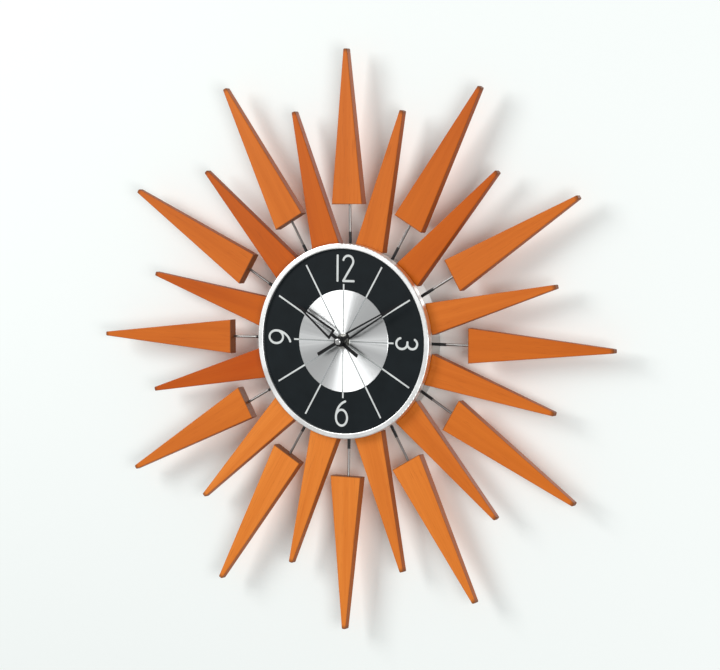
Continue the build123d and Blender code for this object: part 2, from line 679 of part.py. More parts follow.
CORE_THICKNESS = 1.0
CORE_WIDTH = 2
with BuildPart() as coil_core:
    with BuildSketch(face_plane(STATOR_BACK + STATOR_THICKNESS)):
        with Locations((stator_middle, COIL_Z)):
            Rectangle(stator_width, CORE_WIDTH)
    extrude(amount=CORE_THICKNESS)
coil_core.part.label = "coil_core"
export_step(coil_core.part, "parts/coil_core.step")

COIL_RADIUS = 3.1
coil_height = STATOR_BACK + STATOR_THICKNESS + CORE_THICKNESS / 2
coil_start = STATOR_LEFT + STATOR_LEG + 0.5
coil_length = stator_width - 2 * STATOR_LEG - 1
with BuildPart() as coil:
    with BuildSketch(Plane(origin=(coil_start, -coil_height, COIL_Z), x_dir=(0, 0, 1), z_dir=(1, 0, 0))):
        Circle(COIL_RADIUS)
        Rectangle(CORE_WIDTH, CORE_THICKNESS, mode=Mode.SUBTRACT)
    extrude(amount=coil_length)
coil.part.label = "coil"
export_step(coil.part, "parts/coil.step")

with BuildPart() as rotor:
    add_round(rotor_place, BRIDGE_BACK, PIVOT_FRONT, PIVOT_RADIUS)
    add_gear(rotor_place, ROTOR_PINION_BACK, ROTOR_PINION_LENGTH, ROTOR_TEETH, MODULE, rotor_phase)
rotor.part.label = "rotor"
export_step(rotor.part, "parts/rotor.step")

with BuildPart() as rotor_magnet:
    with BuildSketch(face_plane(STATOR_BACK - 0.4, rotor_place)):
        Circle(MAGNET_RADIUS)
        Circle(PIVOT_RADIUS, mode=Mode.SUBTRACT)
    extrude(amount=STATOR_THICKNESS + 0.8)
rotor_magnet.part.label = "rotor_magnet"
export_step(rotor_magnet.part, "parts/rotor_magnet.step")

# Going train, from the rotor to the centre wheel
with BuildPart() as intermediate_wheel:
    add_round(intermediate_place, BRIDGE_BACK, PIVOT_FRONT, PIVOT_RADIUS)
    add_gear(intermediate_place, INTERMEDIATE_BACK, WHEEL_THICKNESS, INTERMEDIATE_TEETH, MODULE, 0)
    add_gear(
        intermediate_place,
        INTERMEDIATE_BACK + WHEEL_THICKNESS,
        INTERMEDIATE_PINION_LENGTH,
        INTERMEDIATE_PINION_TEETH,
        MODULE,
        intermediate_pinion_phase,
    )
intermediate_wheel.part.label = "intermediate_wheel"
export_step(intermediate_wheel.part, "parts/intermediate_wheel.step")

with BuildPart() as seconds_wheel:
    add_round(CENTRE, BRIDGE_BACK, CANNON_BORE_END - 3, SECONDS_ARBOR_RADIUS)
    add_gear(CENTRE, SECONDS_BACK, WHEEL_THICKNESS, SECONDS_TEETH, MODULE, 0)
    add_gear(
        CENTRE,
        SECONDS_BACK + WHEEL_THICKNESS,
        SECONDS_PINION_LENGTH,
        SECONDS_PINION_TEETH,
        MODULE,
        seconds_pinion_phase,
    )
seconds_wheel.part.label = "seconds_wheel"
export_step(seconds_wheel.part, "parts/seconds_wheel.step")

with BuildPart() as third_wheel:
    add_round(third_place, BRIDGE_BACK, PIVOT_FRONT, PIVOT_RADIUS)
    add_gear(third_place, THIRD_BACK, WHEEL_THICKNESS, THIRD_TEETH, MODULE, 0)
    add_gear(
        third_place,
        THIRD_BACK + WHEEL_THICKNESS,
        THIRD_PINION_LENGTH,
        THIRD_PINION_TEETH,
        centre_module,
        third_pinion_phase,
    )
third_wheel.part.label = "third_wheel"
export_step(third_wheel.part, "parts/third_wheel.step")

with BuildPart() as centre_wheel:
    add_gear(CENTRE, CENTRE_BACK, WHEEL_THICKNESS, CENTRE_TEETH, centre_module, 0)
    add_round(CENTRE, CENTRE_BACK - 1, CENTRE_BACK + 2, CANNON_RADIUS, Mode.SUBTRACT)
centre_wheel.part.label = "centre_wheel"
export_step(centre_wheel.part, "parts/centre_wheel.step")

# Motion work: cannon pinion, motion wheel and hour wheel
with BuildPart() as cannon_pinion:
    add_round(CENTRE, CENTRE_BACK - 0.4, CANNON_FRONT, CANNON_RADIUS)
    add_gear(CENTRE, CANNON_PINION_BACK, CANNON_PINION_LENGTH, CANNON_TEETH, MOTION_MODULE, 0)
    add_round(CENTRE, CENTRE_BACK - 1, CANNON_BORE_END, SECONDS_ARBOR_RADIUS + RUNNING_GAP, Mode.SUBTRACT)
cannon_pinion.part.label = "cannon_pinion"
export_step(cannon_pinion.part, "parts/cannon_pinion.step")

with BuildPart() as motion_wheel:
    add_gear(motion_place, MOTION_BACK, WHEEL_THICKNESS, MOTION_TEETH, MOTION_MODULE, motion_phase)
    add_gear(
        motion_place,
        MOTION_BACK + WHEEL_THICKNESS,
        MOTION_PINION_LENGTH,
        MOTION_PINION_TEETH,
        hour_module,
        0,
    )
    add_round(motion_place, MOTION_BACK - 1, INNER_FRONT, STUD_RADIUS + RUNNING_GAP, Mode.SUBTRACT)
motion_wheel.part.label = "motion_wheel"
export_step(motion_wheel.part, "parts/motion_wheel.step")

with BuildPart() as hour_wheel:
    add_gear(CENTRE, HOUR_BACK, WHEEL_THICKNESS, HOUR_TEETH, hour_module, hour_phase)
    add_round(CENTRE, HOUR_BACK, HOUR_PIPE_FRONT, HOUR_PIPE_RADIUS)
    add_round(CENTRE, HOUR_BACK - 1, HOUR_PIPE_FRONT + 1, CANNON_RADIUS + RUNNING_GAP, Mode.SUBTRACT)
hour_wheel.part.label = "hour_wheel"
export_step(hour_wheel.part, "parts/hour_wheel.step")

# Knob that sets the hands through the motion wheel
KNOB_RADIUS = 5.5
KNOB_BACK = 11.5
KNOB_THICKNESS = 2.6
KNOB_GRIPS = 18
KNOB_GRIP_RADIUS = 0.5
KNOB_STEM_END = 27
with BuildPart() as setting_knob:
    add_round(knob_place, KNOB_BACK, KNOB_BACK + KNOB_THICKNESS, KNOB_RADIUS)
    with BuildSketch(face_plane(KNOB_BACK, knob_place)):
        with PolarLocations(KNOB_RADIUS + 0.2, KNOB_GRIPS):
            Circle(KNOB_GRIP_RADIUS)
    extrude(amount=KNOB_THICKNESS, mode=Mode.SUBTRACT)
    add_round(knob_place, KNOB_BACK + KNOB_THICKNESS, KNOB_STEM_END, KNOB_STEM_RADIUS)
    add_round(knob_place, KNOB_STEM_END, PIVOT_FRONT, PIVOT_RADIUS)
    add_gear(knob_place, KNOB_PINION_BACK, KNOB_PINION_LENGTH, KNOB_TEETH, MOTION_MODULE, knob_phase)
setting_knob.part.label = "setting_knob"
export_step(setting_knob.part, "parts/setting_knob.step")

# Circuit board with its moulded chip, and the can of the quartz crystal lying on it
BOARD_BACK = 19
BOARD_THICKNESS = 1
BOARD_WIDTH = 11
BOARD_LENGTH = 26
BOARD_PLACE = (-20.3, 8)
CHIP_PLACE = (-19, 14)
CHIP_RADIUS = 2.4
CHIP_THICKNESS = 0.9
CRYSTAL_PLACE = (-23.8, 2)     # its lower end
CRYSTAL_RADIUS = 1
CRYSTAL_LENGTH = 6
board_front = BOARD_BACK + BOARD_THICKNESS
crystal_height = board_front + CRYSTAL_RADIUS
with BuildPart() as circuit_board:
    with BuildSketch(face_plane(BOARD_BACK, BOARD_PLACE)):
        Rectangle(BOARD_WIDTH, BOARD_LENGTH)
    extrude(amount=BOARD_THICKNESS)
    add_round(CHIP_PLACE, board_front, board_front + CHIP_THICKNESS, CHIP_RADIUS)
    with BuildSketch(Plane(origin=(CRYSTAL_PLACE[0], -crystal_height, CRYSTAL_PLACE[1]), z_dir=(0, 0, 1))):
        Circle(CRYSTAL_RADIUS)
    extrude(amount=CRYSTAL_LENGTH)
circuit_board.part.label = "circuit_board"
export_step(circuit_board.part, "parts/circuit_board.step")

# Battery and its contacts
BATTERY_LEFT = -24.6
BATTERY_RIGHT = 24.4
NUB_RADIUS = 2.7
NUB_LENGTH = 1.4
CONTACT_THICKNESS = 0.4
CONTACT_SIZE = (9, 8)
SPRING_LENGTH = 1.4
SPRING_OUTER_RADIUS = 3.6
SPRING_INNER_RADIUS = 2.4
with BuildPart() as battery:
    battery_plane = Plane(
        origin=(BATTERY_LEFT, -BATTERY_HEIGHT, BATTERY_Z), x_dir=(0, 0, 1), z_dir=(1, 0, 0)
    )
    with BuildSketch(battery_plane):
        Circle(BATTERY_RADIUS)
    extrude(amount=BATTERY_RIGHT - BATTERY_LEFT)
    fillet(battery.edges(), 0.5)
    with BuildSketch(battery_plane.offset(BATTERY_RIGHT - BATTERY_LEFT)):
        Circle(NUB_RADIUS)
    extrude(amount=NUB_LENGTH)
battery.part.label = "battery"
export_step(battery.part, "parts/battery.step")

with BuildPart() as battery_contacts:
    with BuildSketch(battery_plane.offset(BATTERY_RIGHT - BATTERY_LEFT + NUB_LENGTH)):
        Rectangle(*CONTACT_SIZE)
    extrude(amount=CONTACT_THICKNESS)
    with BuildSketch(battery_plane.offset(-SPRING_LENGTH - CONTACT_THICKNESS)):
        Rectangle(*CONTACT_SIZE)
    extrude(amount=CONTACT_THICKNESS)
    with BuildSketch(battery_plane.offset(-SPRING_LENGTH)):
        Circle(SPRING_OUTER_RADIUS)
    with BuildSketch(battery_plane):
        Circle(SPRING_INNER_RADIUS)
    loft()
battery_contacts.part.label = "battery_contacts"
export_step(battery_contacts.part, "parts/battery_contacts.step")
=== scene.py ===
import math

import bmesh
import bpy
from mathutils import Matrix, Vector


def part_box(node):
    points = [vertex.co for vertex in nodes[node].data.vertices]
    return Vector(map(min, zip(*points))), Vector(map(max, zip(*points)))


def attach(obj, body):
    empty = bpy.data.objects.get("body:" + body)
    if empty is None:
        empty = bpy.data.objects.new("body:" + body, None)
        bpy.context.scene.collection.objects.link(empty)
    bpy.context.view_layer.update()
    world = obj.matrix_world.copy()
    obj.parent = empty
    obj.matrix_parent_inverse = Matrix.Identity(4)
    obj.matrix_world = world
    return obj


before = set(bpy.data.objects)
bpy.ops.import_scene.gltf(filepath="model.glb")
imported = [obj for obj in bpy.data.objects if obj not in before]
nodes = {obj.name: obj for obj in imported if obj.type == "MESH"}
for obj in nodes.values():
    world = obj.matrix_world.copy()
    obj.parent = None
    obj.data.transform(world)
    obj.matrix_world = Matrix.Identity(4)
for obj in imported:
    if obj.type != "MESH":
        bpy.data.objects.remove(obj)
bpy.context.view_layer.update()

# Sunburst wall clock. Metres, +Z towards 12, the front faces -Y and the wall is the plane Y = 0.
# Angles of rays, lines and numerals are clockwise from 12, seen from the front.

MM = 0.001


def width_of(node, axis=0):
    low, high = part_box(node)
    return high[axis] - low[axis]


# Sizes read from the frame
DIAL_FACE_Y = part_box("dial_plate")[0][1]
DISC_FACE_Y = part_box("centre_disc")[0][1]
DISC_RADIUS = width_of("centre_disc") / 2
RAY_FRONT_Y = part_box("long_ray_01")[0][1]
RAY_COUNT = 12
RAY_STEP = 360 / RAY_COUNT
RAY_TIPS = {"long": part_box("long_ray_04")[1][0], "short": 233 * MM}   # radius of the tips
RAY_LENGTHS = {"long": 152 * MM, "short": 139 * MM}

# ---------------------------------------------------------------- material helpers


def new_material(name, **inputs):
    """A Principled material with some of the shader's own inputs set."""
    material = bpy.data.materials.new(name)
    material.use_nodes = True
    shader = material.node_tree.nodes["Principled BSDF"]
    for label, value in inputs.items():
        shader.inputs[label.replace("_", " ")].default_value = value
    return material, material.node_tree, shader


def add(tree, kind, inputs=None, **settings):
    """Adds a node, with its settings and the values or links of its inputs."""
    node = tree.nodes.new(kind)
    for key, value in settings.items():
        setattr(node, key, value)
    for key, value in (inputs or {}).items():
        if isinstance(value, bpy.types.NodeSocket):
            tree.links.new(value, node.inputs[key])
        else:
            node.inputs[key].default_value = value
    return node


def position(tree, turn=(0, 0, 0), shift=(0, 0, 0), scale=(1, 1, 1)):
    """The point on the object, in its own frame, turned first and then shifted and stretched."""
    point = add(tree, "ShaderNodeTexCoord").outputs["Object"]
    if turn != (0, 0, 0):
        point = add(tree, "ShaderNodeMapping", {"Vector": point, "Rotation": turn}).outputs["Vector"]
    return add(
        tree, "ShaderNodeMapping", {"Vector": point, "Location": shift, "Scale": scale}
    ).outputs["Vector"]


def noise(tree, point, scale, detail=4, roughness=0.55):
    inputs = {"Vector": point, "Scale": scale, "Detail": detail, "Roughness": roughness}
    return add(tree, "ShaderNodeTexNoise", inputs).outputs["Fac"]


def ramp(tree, value, *stops):
    """Maps a value to colours or greys, each stop a place and a colour."""
    node = add(tree, "ShaderNodeValToRGB", {"Fac": value})
    while len(node.color_ramp.elements) < len(stops):
        node.color_ramp.elements.new(0.5)
    for element, (place, colour) in zip(node.color_ramp.elements, stops):
        element.position = place
        element.color = (*colour, 1) if isinstance(colour, tuple) else (colour, colour, colour, 1)
    return node.outputs["Color"]


def math_node(tree, operation, first, second=0.0):
    return add(tree, "ShaderNodeMath", {0: first, 1: second}, operation=operation).outputs[0]


def mix(tree, share, first, second, blend="MIX"):
    """Mixes two colours; share is a number or a link."""
    node = add(tree, "ShaderNodeMix", data_type="RGBA", blend_type=blend)
    for index, value in ((0, share), (6, first), (7, second)):
        if isinstance(value, bpy.types.NodeSocket):
            tree.links.new(value, node.inputs[index])
        else:
            node.inputs[index].default_value = value if index == 0 else (*value, 1)
    return node.outputs[2]


def smooth_step(tree, value, low, high):
    """Rises from 0 to 1 as a value passes from low to high, or falls if low is above high."""
    node = add(tree, "ShaderNodeMapRange", {"Value": value}, interpolation_type="SMOOTHSTEP")
    for label, number in (("From Min", low), ("From Max", high)):
        node.inputs[label].default_value = number
    return node.outputs["Result"]


def edge_mask(tree, radius):
    """White near sharp edges, from how far a bevelled normal leaves the true one."""
    soft = add(tree, "ShaderNodeBevel", {"Radius": radius}, samples=4).outputs["Normal"]
    flat = add(tree, "ShaderNodeNewGeometry").outputs["Normal"]
    likeness = add(tree, "ShaderNodeVectorMath", {0: soft, 1: flat}, operation="DOT_PRODUCT")
    return ramp(tree, likeness.outputs["Value"], (0.80, 1.0), (0.99, 0.0))


def bump(tree, height, distance, strength=1.0, normal=None):
    inputs = {"Height": height, "Distance": distance, "Strength": strength}
    if normal is not None:
        inputs["Normal"] = normal
    return add(tree, "ShaderNodeBump", inputs).outputs["Normal"]


# ---------------------------------------------------------------- materials


def stained_wood(name, angle, shift, lightness, base_radius, tip_radius):
    """Orange-stained wood whose grain runs along a ray, with painted shade that darkens its sides and
    ends.

    Lightness runs from 0, a deep red orange, to 1, a pale orange.
    """
    material, tree, shader = new_material(name, Coat_Weight=0.06, Coat_Roughness=0.35)
    shader.inputs["Specular IOR Level"].default_value = 0.16
    turn = (0, -math.radians(angle), 0)
    streaks = noise(tree, position(tree, turn, shift, (80, 40, 2.2)), 1.0, 5, 0.6)
    fibres = noise(tree, position(tree, turn, shift, (620, 300, 9)), 1.0, 3, 0.6)
    pores = noise(tree, position(tree, turn, shift, (1500, 1100, 60)), 1.0, 2, 0.5)
    clouds = noise(tree, position(tree, turn, shift, (16, 14, 6)), 1.0, 2, 0.5)

    def tone(deep, pale):
        return tuple(d + (p - d) * lightness for d, p in zip(deep, pale))

    stain_and_shade = ramp(
        tree,
        streaks,
        (0.28, tone((0.44, 0.083, 0.003), (0.67, 0.180, 0.020))),
        (0.50, tone((0.51, 0.103, 0.005), (0.75, 0.224, 0.031))),
        (0.74, tone((0.57, 0.126, 0.007), (0.81, 0.262, 0.042))),
    )
    stain_and_shade = mix(tree, ramp(tree, fibres, (0.32, 0.0), (0.70, 0.22)), stain_and_shade, (0.47, 0.085, 0.004))
    stain_and_shade = mix(tree, ramp(tree, clouds, (0.35, 0.0), (0.70, 0.25)), stain_and_shade, (0.70, 0.19, 0.014))
    dark_pores = ramp(tree, pores, (0.28, 0.30), (0.38, 0.0))
    stain_and_shade = mix(tree, dark_pores, stain_and_shade, (0.26, 0.045, 0.003))
    # Darker within about 1.5 mm of the edges
    darker_edges = math_node(tree, "MULTIPLY", edge_mask(tree, 1.5 * MM), 0.55)
    stain_and_shade = mix(tree, darker_edges, stain_and_shade, (0.21, 0.050, 0.008))
    # Painted shade: the sides are darkened towards a deep brown, as if in shade beside the lit front
    normal = add(tree, "ShaderNodeSeparateXYZ", {0: add(tree, "ShaderNodeTexCoord").outputs["Normal"]})
    side = smooth_step(tree, math_node(tree, "ABSOLUTE", normal.outputs["Y"]), 0.75, 0.25)
    stain_and_shade = mix(tree, math_node(tree, "MULTIPLY", side, 0.72), stain_and_shade, (0.20, 0.040, 0.006))
    # Painted shade on the ends: near the tip and at the base
    along = add(tree, "ShaderNodeSeparateXYZ", {0: position(tree, turn)}).outputs["Z"]
    tip_shade = smooth_step(tree, along, tip_radius - 5.0 * MM, tip_radius - 0.5 * MM)
    base_shade = smooth_step(tree, along, base_radius + 1.4 * MM, base_radius - 0.2 * MM)
    ends = math_node(tree, "MULTIPLY", math_node(tree, "ADD", tip_shade, base_shade), 0.7)
    stain_and_shade = mix(tree, ends, stain_and_shade, (0.13, 0.045, 0.014))
    tree.links.new(stain_and_shade, shader.inputs["Base Color"])
    gloss = ramp(tree, fibres, (0.3, 0.40), (0.7, 0.56))
    tree.links.new(gloss, shader.inputs["Roughness"])
    grain = bump(tree, fibres, 0.04 * MM, 0.5)
    tree.links.new(bump(tree, pores, 0.03 * MM, 0.4, grain), shader.inputs["Normal"])
    return material


def worn_metal(name, colour, roughness, stretch, scratch, mottle=0.08, edge=None):
    """Metal brushed along the axis with the smallest stretch; edges are rubbed brighter."""
    material, tree, shader = new_material(name, Metallic=1.0)
    lines = noise(tree, position(tree, scale=stretch), 1.0, 4, 0.6)
    clouds = noise(tree, position(tree), 45, 3, 0.6)
    low = tuple(c * (1 - mottle) for c in colour)
    high = tuple(min(1, c * (1 + mottle)) for c in colour)
    tint = ramp(tree, clouds, (0.3, low), (0.7, high))
    if edge:
        tint = mix(tree, math_node(tree, "MULTIPLY", edge_mask(tree, 0.3 * MM), 0.6), tint, edge)
    tree.links.new(tint, shader.inputs["Base Color"])
    rough = ramp(tree, lines, (0.3, roughness * 0.8), (0.7, roughness * 1.25))
    tree.links.new(rough, shader.inputs["Roughness"])
    tree.links.new(bump(tree, lines, scratch), shader.inputs["Normal"])
    return material


def painted(name, colour, roughness, grain_scale, grain_depth, edge, edge_share=0.5, shine=0.45):
    """Paint or moulded plastic with a fine orange peel, slightly lighter along its edges."""
    material, tree, shader = new_material(name, Specular_IOR_Level=shine)
    peel = noise(tree, position(tree), grain_scale, 3, 0.6)
    clouds = noise(tree, position(tree), 60, 3, 0.6)
    low = tuple(c * 0.85 for c in colour)
    high = tuple(c * 1.15 for c in colour)
    tint = ramp(tree, clouds, (0.3, low), (0.7, high))
    tint = mix(tree, math_node(tree, "MULTIPLY", edge_mask(tree, 0.25 * MM), edge_share), tint, edge)
    tree.links.new(tint, shader.inputs["Base Color"])
    rough = ramp(tree, clouds, (0.3, roughness * 0.88), (0.7, roughness * 1.12))
    tree.links.new(rough, shader.inputs["Roughness"])
    tree.links.new(bump(tree, peel, grain_depth), shader.inputs["Normal"])
    return material


def spun_disc(name):
    """Aluminium turned in a lathe: fine rings about the axis, which light the disc in fans."""
    material, tree, shader = new_material(name, Metallic=1.0, Anisotropic=0.93)
    shader.inputs["Base Color"].default_value = (0.92, 0.94, 0.94, 1)
    shader.inputs["Anisotropic Rotation"].default_value = 0.25
    tangent = add(tree, "ShaderNodeTangent", direction_type="RADIAL", axis="Y").outputs["Tangent"]
    tree.links.new(tangent, shader.inputs["Tangent"])
    parts = add(tree, "ShaderNodeSeparateXYZ", {0: position(tree)}).outputs
    around = math_node(tree, "ARCTAN2", parts["X"], parts["Z"])
    fan_point = add(tree, "ShaderNodeCombineXYZ", {0: around}).outputs[0]
    fans = noise(tree, fan_point, 18, 6, 0.8)
    rough = ramp(tree, fans, (0.30, 0.22), (0.70, 0.46))
    tree.links.new(rough, shader.inputs["Roughness"])
    return material


def battery_wrap(name, low, high):
    """A printed sleeve: a dark length and a bright end, with no lettering."""
    material, tree, shader = new_material(name, Roughness=0.3, Coat_Weight=0.4)
    along = add(tree, "ShaderNodeSeparateXYZ", {0: position(tree)}).outputs["X"]
    share = math_node(tree, "DIVIDE", math_node(tree, "SUBTRACT", along, low), high - low)
    sleeve = (0.02, 0.05, 0.16)
    bands = ramp(tree, share, (0.0, sleeve), (0.66, sleeve), (0.661, (0.55, 0.56, 0.58)))
    clouds = noise(tree, position(tree), 220, 3, 0.6)
    tint = mix(tree, ramp(tree, clouds, (0.35, 0.0), (0.7, 0.2)), bands, (0.30, 0.31, 0.34))
    tree.links.new(tint, shader.inputs["Base Color"])
    tree.links.new(bump(tree, clouds, 0.02 * MM), shader.inputs["Normal"])
    return material


def coil_winding(name):
    """Enamelled copper wire wound round the X axis, with painted shade in the grooves between the
    turns.
    """
    material, tree, shader = new_material(name, Metallic=0.85, Roughness=0.32)
    turns = add(
        tree,
        "ShaderNodeTexWave",
        {"Vector": position(tree), "Scale": 1400, "Distortion": 0.4, "Detail": 1},
        bands_direction="X",
    ).outputs["Fac"]
    # Painted shade: dark copper in the grooves between the turns, bright copper on the turns
    tint = ramp(tree, turns, (0.0, (0.28, 0.07, 0.02)), (0.6, (0.80, 0.30, 0.10)))
    tree.links.new(tint, shader.inputs["Base Color"])
    tree.links.new(bump(tree, turns, 0.06 * MM), shader.inputs["Normal"])
    return material


def printed_board(name):
    """Green solder mask over faint copper tracks."""
    material, tree, shader = new_material(name, Roughness=0.35, Coat_Weight=0.3)
    cells = add(
        tree, "ShaderNodeTexVoronoi", {"Vector": position(tree), "Scale": 420}, distance="MANHATTAN"
    ).outputs["Distance"]
    tint = ramp(tree, cells, (0.30, (0.06, 0.26, 0.11)), (0.45, (0.02, 0.12, 0.05)))
    tree.links.new(tint, shader.inputs["Base Color"])
    tree.links.new(bump(tree, cells, 0.03 * MM), shader.inputs["Normal"])
    return material


satin_aluminium = worn_metal(
    "satin_aluminium", (0.56, 0.56, 0.55), 0.34, (30, 900, 30), 0.02 * MM, edge=(0.75, 0.75, 0.74)
)
bezel_aluminium = worn_metal(
    "bezel_aluminium", (0.95, 0.96, 0.95), 0.38, (40, 500, 40), 0.003 * MM, 0.03
)
polished_steel = worn_metal("polished_steel", (0.30, 0.29, 0.28), 0.35, (40, 40, 40), 0.004 * MM)
plated_steel = worn_metal(
    "plated_steel", (0.56, 0.56, 0.53), 0.30, (300, 60, 300), 0.02 * MM, 0.12, (0.78, 0.78, 0.76)
)
cap_steel = worn_metal("cap_steel", (0.72, 0.72, 0.71), 0.10, (200, 60, 200), 0.004 * MM)
brass = worn_metal(
    "brass", (0.70, 0.47, 0.17), 0.26, (300, 60, 300), 0.02 * MM, 0.10, (0.85, 0.65, 0.32)
)
soft_iron = worn_metal(
    "soft_iron", (0.36, 0.36, 0.36), 0.38, (60, 60, 500), 0.02 * MM, 0.12, (0.6, 0.6, 0.6)
)
magnet_grey = worn_metal(
    "magnet_grey", (0.10, 0.10, 0.11), 0.45, (300, 300, 300), 0.03 * MM, 0.15, (0.2, 0.2, 0.2)
)
dial_black = painted(
    "dial_black", (0.0065, 0.0100, 0.0120), 0.50, 900, 0.004 * MM, (0.02, 0.02, 0.02), shine=0.12
)
hand_black = painted(
    "hand_black", (0.0070, 0.0070, 0.0080), 0.55, 900, 0.004 * MM, (0.02, 0.02, 0.02), shine=0.15
)
# Black ferrules on the rods; their black is partly painted shade, the dark at the holes the rods go
# into
ferrule_black = painted(
    "ferrule_black", (0.012, 0.012, 0.013), 0.55, 1500, 0.01 * MM, (0.03, 0.03, 0.03)
)
cover_black = painted(
    "cover_black", (0.022, 0.022, 0.023), 0.58, 1300, 0.05 * MM, (0.10, 0.10, 0.10)
)
gasket_rubber = painted(
    "gasket_rubber", (0.015, 0.015, 0.015), 0.75, 1500, 0.04 * MM, (0.05, 0.05, 0.05)
)
moulded_black = painted(
    "moulded_black", (0.020, 0.020, 0.022), 0.48, 1600, 0.03 * MM, (0.08, 0.08, 0.08)
)
acetal = painted("acetal", (0.74, 0.72, 0.64), 0.35, 900, 0.01 * MM, (0.86, 0.85, 0.80))
print_silver = painted(
    "print_silver", (0.60, 0.63, 0.62), 0.45, 1600, 0.004 * MM, (0.7, 0.7, 0.7)
)
print_grey = painted(
    "print_grey", (0.30, 0.32, 0.32), 0.60, 1600, 0.004 * MM, (0.4, 0.4, 0.4), shine=0.2
)
disc_silver = spun_disc("disc_silver")
battery_low, battery_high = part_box("battery")
NODE_MATERIALS = {
    "case_drum": satin_aluminium,
    "bezel": bezel_aluminium,
    "ray_rods": polished_steel,
    "rod_ferrules": ferrule_black,
    "case_nuts": plated_steel,
    "cover_screws": plated_steel,
    "bridge_screws": plated_steel,
    "battery_contacts": plated_steel,
    "hand_cap": cap_steel,
    "bushing": plated_steel,
    "shaft_washer": plated_steel,
    "shaft_nut": plated_steel,
    "centre_wheel": brass,
    "cannon_pinion": brass,
    "stator": soft_iron,
    "coil_core": soft_iron,
    "rotor_magnet": magnet_grey,
    "dial_plate": dial_black,
    "hour_hand": hand_black,
    "minute_hand": hand_black,
    "back_cover": cover_black,
    "gasket": gasket_rubber,
    "movement_case": moulded_black,
    "movement_cover": moulded_black,
    "train_bridge": moulded_black,
    "setting_knob": moulded_black,
    "rotor": acetal,
    "intermediate_wheel": acetal,
    "seconds_wheel": acetal,
    "third_wheel": acetal,
    "motion_wheel": acetal,
    "hour_wheel": acetal,
    "centre_disc": disc_silver,
    "circuit_board": printed_board("board_green"),
    "coil": coil_winding("coil_copper"),
    "battery": battery_wrap("battery_sleeve", battery_low[0], battery_high[0]),
}


def paint(node, material):
    """Gives a CAD node one material in all its slots."""
    data = nodes[node].data
    data.materials.clear()
    data.materials.append(material)


for node, material in NODE_MATERIALS.items():
    paint(node, material)

# Lightness of each ray, from 0, a deep red orange, to 1, a pale orange, clockwise from 12: partly each
# ray's own staining, partly a painted sheen that makes the rays around 6 o'clock pale
RAY_LIGHTNESS = {
    "long": (0.32, 0.05, 0.32, 0.10, 0.32, 0.90, 0.92, 0.98, 0.40, 0.15, 0.22, 0.35),
    "short": (0.30, -0.15, 0.32, 0.28, 0.40, 0.74, 0.92, 0.88, -0.35, -0.12, -0.25, -0.05),
}
for index in range(RAY_COUNT):
    for kind, first_angle in (("long", 0), ("short", RAY_STEP / 2)):
        name = f"{kind}_ray_{index + 1:02d}"
        angle = first_angle + RAY_STEP * index
        tip_radius = RAY_TIPS[kind]
        base_radius = tip_radius - RAY_LENGTHS[kind]
        shift = (3.1 * index + first_angle, 1.7 * index, 5.3 * index)
        lightness = RAY_LIGHTNESS[kind][index]
        paint(name, stained_wood(f"stain_{name}", angle, shift, lightness, base_radius, tip_radius))

# ---------------------------------------------------------------- printed dial

PRINT_THICKNESS = 0.12 * MM
PRINT_STEP = 0.15               # extra thickness of every second shape, as a share
LINE_WIDTH = 1.6 * MM
LINE_OUTER = 85 * MM            # where an hour line ends
NUMBERED_LINE_OUTER = 56 * MM   # where it ends below a numeral
DISC_LINE_INNER = 8 * MM
DISC_LINE_SHARE = 0.7           # width of the disc's lines, as a share of the dial's
LINE_GAP = 0.1 * MM             # between the disc's edge and the lines outside it
DISC_LINE_GAP = 0.3 * MM        # between the disc's edge and the lines on it
CAP_STEPS = 8                   # sides of the half circle at the end of a stroke


def print_object(name, shapes, face_y, material):
    """Thin printed shapes on a face.

    Each shape is a closed outline of (x, z) points and the faces that fill it, as lists of indices.
    Neighbouring shapes differ a little in thickness, so faces that overlap never coincide.
    """
    mesh = bpy.data.meshes.new(name)
    build = bmesh.new()
    for layer, (outline, faces) in enumerate(shapes):
        front_y = face_y - PRINT_THICKNESS * (1 + PRINT_STEP * (layer % 2))
        back = [build.verts.new((x, face_y, z)) for x, z in outline]
        front = [build.verts.new((x, front_y, z)) for x, z in outline]
        for face in faces:
            build.faces.new([front[i] for i in face])
            build.faces.new([back[i] for i in reversed(face)])
        for i in range(len(outline)):
            j = (i + 1) % len(outline)
            build.faces.new((front[j], front[i], back[i], back[j]))
    bmesh.ops.recalc_face_normals(build, faces=build.faces)
    build.to_mesh(mesh)
    build.free()
    piece = bpy.data.objects.new(name, mesh)
    bpy.context.scene.collection.objects.link(piece)
    mesh.materials.append(material)
    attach(piece, "case")


def radial_line(angle, inner, outer, width):
    """A straight line along a radius."""
    turn = math.radians(angle)
    out = Vector((math.sin(turn), math.cos(turn)))
    side = Vector((out.y, -out.x)) * width / 2
    corners = [out * inner - side, out * inner + side, out * outer + side, out * outer - side]
    return corners, [[0, 1, 2, 3]]


